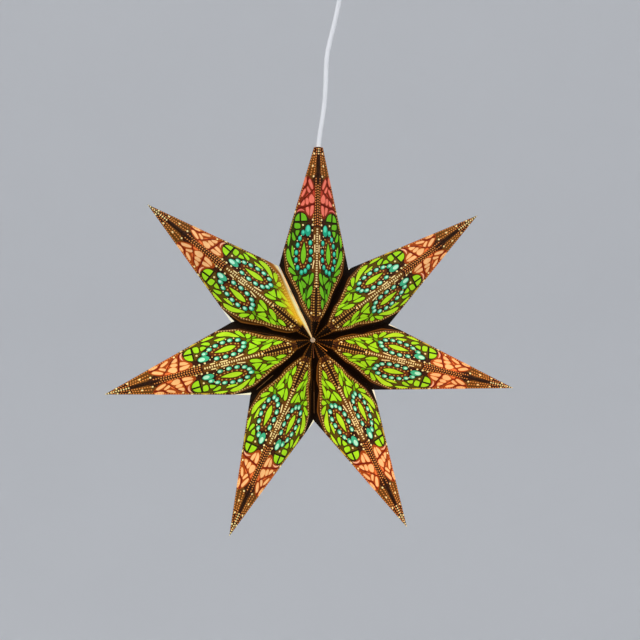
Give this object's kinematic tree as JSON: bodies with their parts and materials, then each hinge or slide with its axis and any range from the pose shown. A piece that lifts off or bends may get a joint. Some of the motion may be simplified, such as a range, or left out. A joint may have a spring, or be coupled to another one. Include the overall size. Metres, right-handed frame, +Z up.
{
  "type": "paper star lantern",
  "caption": "Folded star lantern of printed paper with a bulb inside, hung by its cord from a ceiling rose.",
  "frame": {"origin": "middle of the ceiling rose's top face, which lies against the ceiling", "axes": "+Z up to the ceiling, -Y out of the front of the star, +X to the right seen from the front"},
  "size_m": [0.5822, 0.16, 0.8365],
  "materials": {
    "printed_paper": "ink print on translucent paper, folded and glued",
    "fastener_black": "woven hook pads",
    "fastener_white": "woven loop pads",
    "white_plastic": "moulded, slightly glossy",
    "black_plastic": "moulded, satin",
    "opal_glass": "opal glass globe on a metal screw cap",
    "brass": "stamped and turned",
    "steel": "zinc plated",
    "white_cord": "soft round sheath"
  },
  "bodies": {
    "root": {"arm_top": "printed_paper", "arm_upper_right": "printed_paper", "arm_right": "printed_paper", "arm_lower_right": "printed_paper", "arm_lower_left": "printed_paper", "arm_left": "printed_paper", "arm_upper_left": "printed_paper", "closure_hooks": "fastener_black", "closure_loops": "fastener_white", "cord_stopper": "white_plastic", "stopper_screw": "steel", "bulb": "opal_glass", "thread_sleeve": "brass", "centre_contact": "brass", "holder_core": "black_plastic", "core_screws": "brass", "holder_skirt": "black_plastic", "holder_cap": "black_plastic", "cap_clamp": "white_plastic", "cord": "white_cord", "rose_cup": "white_plastic", "rose_gland": "white_plastic", "gland_nut": "white_plastic", "rose_bracket": "steel", "cup_screws": "steel", "terminal_block": "white_plastic", "terminal_screws": "brass"}
  },
  "joints": []
}
